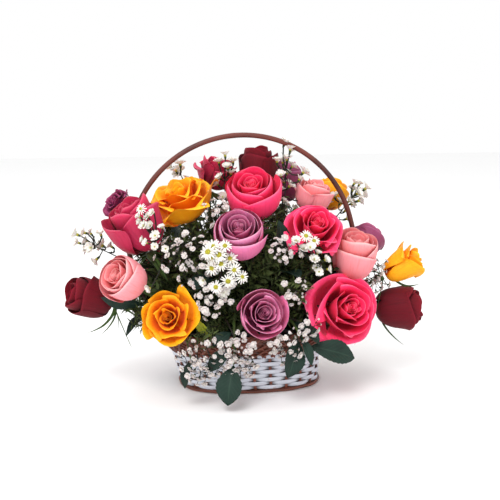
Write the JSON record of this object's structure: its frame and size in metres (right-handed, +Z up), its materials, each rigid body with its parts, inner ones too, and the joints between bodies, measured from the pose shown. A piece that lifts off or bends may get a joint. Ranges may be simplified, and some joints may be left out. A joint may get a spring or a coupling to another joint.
{
  "type": "flower basket arrangement",
  "caption": "Woven oval basket with a tall arched handle, filled with mixed roses, small white asters, baby's breath, leaves and fern in floral foam.",
  "frame": {"origin": "centre of the flat underside of the basket's base, on the surface that it stands on", "axes": "+Z up through the handle's arch, +X to the right along the basket's long side, -Y towards the viewer"},
  "size_m": [0.4414, 0.2535, 0.3132],
  "materials": {
    "petals_pink": "satin rose petals, hot pink, darker in the folds",
    "petals_magenta": "satin rose petals, magenta",
    "petals_lavender": "satin rose petals, lavender pink with a darker heart",
    "petals_mauve": "satin rose petals, dusty mauve",
    "petals_yellow": "satin rose petals, orange yellow",
    "petals_blush": "satin rose petals, light pink with a coral heart",
    "petals_red": "velvety rose petals, dark red",
    "rose_stems": "waxy green stems, hips and sepals",
    "leaves": "dark green leaves with a slight wax bloom",
    "fern": "dark green fern fronds",
    "asters": "white ray petals round yellow green discs on brown green twigs",
    "babys_breath": "cream white florets on fine green twigs",
    "plaited_cane": "reddish brown plaited cane",
    "white_splint": "white painted flat splints woven over brown stakes",
    "bent_cane": "reddish brown bent cane, slightly glossy",
    "black_film": "thin black plastic liner",
    "foam": "wet green floral foam"
  },
  "bodies": {
    "root": {"rose_yellow_low_left": "petals_yellow", "rose_lavender_low": "petals_lavender", "rose_pink_low_right": "petals_pink", "rose_red_right": "petals_red", "rose_red_left": "petals_red", "rose_blush_left": "petals_blush", "rose_magenta_left": "petals_magenta", "rose_yellow_top_left": "petals_yellow", "rose_magenta_top": "petals_magenta", "rose_red_top": "petals_red", "rose_pink_top": "petals_pink", "rose_lavender_middle": "petals_lavender", "rose_pink_right": "petals_pink", "rose_mauve_top_right": "petals_mauve", "rose_blush_top_right": "petals_blush", "rose_yellow_top_right": "petals_yellow", "rose_blush_right": "petals_blush", "rose_mauve_right": "petals_mauve", "rose_yellow_bud_right": "petals_yellow", "rose_pink_back_left": "petals_pink", "rose_lavender_back": "petals_lavender", "rose_yellow_back_right": "petals_yellow", "stems_front_left": "rose_stems", "stems_left": "rose_stems", "stems_front": "rose_stems", "stems_front_right": "rose_stems", "stems_right": "rose_stems", "stems_top": "rose_stems", "stems_top_right": "rose_stems", "stems_back": "rose_stems", "leaves_front_left": "leaves", "leaves_front_right": "leaves", "leaves_left": "leaves", "leaves_middle": "leaves", "leaves_upper": "leaves", "leaves_back_left": "leaves", "leaves_back_right": "leaves", "fern_left": "fern", "fern_right": "fern", "fern_front": "fern", "fern_back": "fern", "asters_middle": "asters", "asters_right": "asters", "asters_top_left": "asters", "asters_far_left": "asters", "asters_top_right": "asters", "asters_left": "asters", "asters_back": "asters", "breath_left": "babys_breath", "breath_front": "babys_breath", "breath_front_right": "babys_breath", "breath_right": "babys_breath", "breath_far_right": "babys_breath", "breath_back": "babys_breath", "basket_base": "plaited_cane", "basket_weave": "white_splint", "basket_border": "plaited_cane", "basket_handle": "bent_cane", "liner": "black_film", "floral_foam": "foam"}
  },
  "joints": []
}
